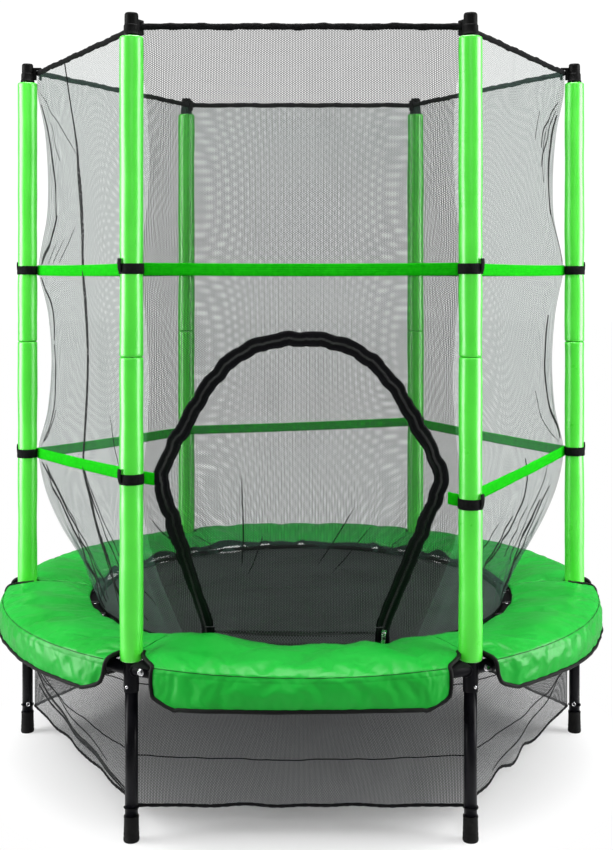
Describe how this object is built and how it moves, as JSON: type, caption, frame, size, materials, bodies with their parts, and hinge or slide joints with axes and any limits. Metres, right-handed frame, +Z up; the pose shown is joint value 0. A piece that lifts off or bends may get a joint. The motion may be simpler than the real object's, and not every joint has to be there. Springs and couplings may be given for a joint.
{
  "type": "trampoline",
  "caption": "Small round trampoline for a child with a hexagonal padded-post frame, a full-height safety net with an arched zipped door, straps, a padded rim and a lower skirt net.",
  "frame": {"origin": "on the floor at the centre of the ring of feet", "axes": "+Z up through the jumping mat's centre, -Y towards the zipped door, +X to the right seen from the door"},
  "size_m": [1.4064, 1.4094, 1.6],
  "materials": {
    "rail_steel": "black powder coat, semi-gloss",
    "leg_steel": "black powder coat, semi-gloss",
    "post_steel": "black powder coat, semi-gloss",
    "foot_rubber": "matt moulded rubber",
    "sleeve_foam": "smooth vinyl-skinned foam tube",
    "cap_plastic": "black moulded plastic",
    "mat_weave": "fine woven polypropylene",
    "elastic": "braided elastic cord",
    "pad_vinyl": "glossy coated fabric over foam, creased",
    "net_mesh": "fine black knitted mesh",
    "zip_tape": "woven tape with stitching",
    "webbing": "flat woven webbing",
    "skirt_mesh": "fine grey mesh",
    "zip_metal": "bright cast metal"
  },
  "bodies": {
    "frame": {"frame_rail_1": "rail_steel", "frame_rail_2": "rail_steel", "frame_rail_3": "rail_steel", "frame_rail_4": "rail_steel", "frame_rail_5": "rail_steel", "frame_rail_6": "rail_steel", "leg_1": "leg_steel", "leg_2": "leg_steel", "leg_3": "leg_steel", "leg_4": "leg_steel", "leg_5": "leg_steel", "leg_6": "leg_steel", "foot_cap_1": "foot_rubber", "foot_cap_2": "foot_rubber", "foot_cap_3": "foot_rubber", "foot_cap_4": "foot_rubber", "foot_cap_5": "foot_rubber", "foot_cap_6": "foot_rubber", "lower_post_1": "post_steel", "lower_post_2": "post_steel", "lower_post_3": "post_steel", "lower_post_4": "post_steel", "lower_post_5": "post_steel", "lower_post_6": "post_steel", "upper_post_1": "post_steel", "upper_post_2": "post_steel", "upper_post_3": "post_steel", "upper_post_4": "post_steel", "upper_post_5": "post_steel", "upper_post_6": "post_steel", "lower_sleeve_1": "sleeve_foam", "lower_sleeve_2": "sleeve_foam", "lower_sleeve_3": "sleeve_foam", "lower_sleeve_4": "sleeve_foam", "lower_sleeve_5": "sleeve_foam", "lower_sleeve_6": "sleeve_foam", "upper_sleeve_1": "sleeve_foam", "upper_sleeve_2": "sleeve_foam", "upper_sleeve_3": "sleeve_foam", "upper_sleeve_4": "sleeve_foam", "upper_sleeve_5": "sleeve_foam", "upper_sleeve_6": "sleeve_foam", "post_cap_1": "cap_plastic", "post_cap_2": "cap_plastic", "post_cap_3": "cap_plastic", "post_cap_4": "cap_plastic", "post_cap_5": "cap_plastic", "post_cap_6": "cap_plastic", "elastic_cord": "elastic", "safety_pad": "pad_vinyl", "enclosure_net": "net_mesh", "zip_tape_outer": "zip_tape", "upper_strap": "webbing", "lower_strap": "webbing", "skirt_net": "skirt_mesh"},
    "mat": {"jump_mat": "mat_weave"},
    "door": {"door_panel": "net_mesh", "zip_tape_inner": "zip_tape"},
    "zip_slider": {"zip_slider": "zip_metal"},
    "zip_pull": {"zip_pull": "zip_metal"}
  },
  "joints": [
    {"name": "mat_bounce", "type": "slide", "parent": "frame", "child": "mat", "axis": [0, 0, 1], "range_m": [-0.12, 0], "stiffness_N_per_m": 4400, "springref_m": 0.003, "deforming": ["elastic_cord"]},
    {"name": "door_open", "type": "hinge", "parent": "frame", "child": "door", "pos_m": [0, -0.49, 0.3844], "axis": [1, 0, 0], "range_deg": [0, 72]},
    {"name": "zip_travel", "type": "slide", "parent": "frame", "child": "zip_slider", "axis": [0.2431, -0.2992, 0.9227], "range_m": [0, 0.12]},
    {"name": "pull_swing", "type": "hinge", "parent": "zip_slider", "child": "zip_pull", "pos_m": [0.16742, -0.46647, 0.37062], "axis": [-0.9323, -0.3348, 0.1371], "range_deg": [-15, 110]}
  ]
}
